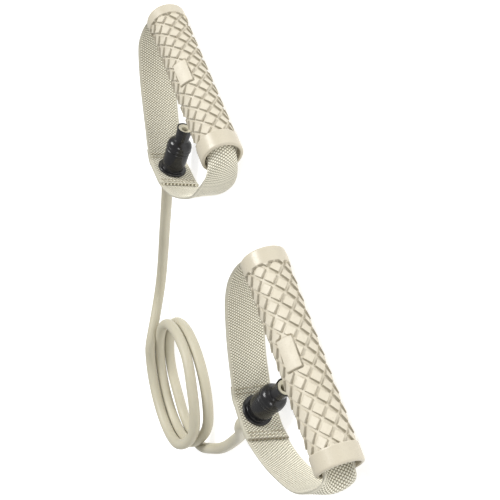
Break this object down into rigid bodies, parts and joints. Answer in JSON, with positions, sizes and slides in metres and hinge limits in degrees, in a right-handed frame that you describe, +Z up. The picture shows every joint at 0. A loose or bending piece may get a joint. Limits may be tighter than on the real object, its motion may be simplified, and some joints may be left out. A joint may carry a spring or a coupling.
{
  "type": "resistance tube with handles",
  "caption": "Elastic exercise tube with a soft-grip handle at each end, each handle a moulded sleeve on a webbing loop with a plug connector.",
  "frame": {"origin": "on the table under the middle of the two handles' footprint, the free tube left out", "axes": "+X runs along the grips from handle A to handle B, +Y points from the connectors to the grips, +Z is up from the table"},
  "size_m": [0.3776, 0.3435, 0.0319],
  "materials": {
    "grip_rubber": "cream moulded rubber, satin; diamond pads between glossy end collars",
    "core_plastic": "plain moulded tube",
    "webbing": "khaki-beige woven webbing with a bright weft",
    "eyelet_plastic": "black moulded plastic",
    "housing_plastic": "black moulded plastic with a soft gloss",
    "plug_plastic": "plain moulded plastic",
    "tube_rubber": "khaki-beige latex rubber, satin"
  },
  "bodies": {
    "straps_and_tube": {"webbing_a": "webbing", "webbing_b": "webbing", "eyelet_a": "eyelet_plastic", "eyelet_b": "eyelet_plastic", "tube_end_a": "tube_rubber", "tube_end_b": "tube_rubber", "plug_ball_a": "plug_plastic", "plug_ball_b": "plug_plastic", "tube_a": "tube_rubber", "tube_b": "tube_rubber", "tube_coil": "tube_rubber"},
    "grip_a": {"grip_sleeve_a": "grip_rubber", "grip_core_a": "core_plastic"},
    "grip_b": {"grip_sleeve_b": "grip_rubber", "grip_core_b": "core_plastic"},
    "connector_a": {"connector_body_a": "housing_plastic", "connector_cap_a": "housing_plastic"},
    "connector_b": {"connector_body_b": "housing_plastic", "connector_cap_b": "housing_plastic"}
  },
  "joints": [
    {"name": "grip_a_spin", "type": "hinge", "parent": "straps_and_tube", "child": "grip_a", "pos_m": [-0.11182, 0.0381, 0.015], "axis": [0.9971, 0.0767, 0], "continuous": true},
    {"name": "grip_b_spin", "type": "hinge", "parent": "straps_and_tube", "child": "grip_b", "pos_m": [0.10978, 0.0487, 0.015], "axis": [1, 0, 0], "continuous": true},
    {"name": "connector_a_swivel", "type": "hinge", "parent": "straps_and_tube", "child": "connector_a", "pos_m": [-0.10438, -0.05411, 0.0163], "axis": [-0.2452, 0.955, -0.1668], "continuous": true},
    {"name": "connector_b_swivel", "type": "hinge", "parent": "straps_and_tube", "child": "connector_b", "pos_m": [0.10841, -0.04372, 0.01668], "axis": [0.0119, 0.9743, -0.225], "continuous": true}
  ]
}
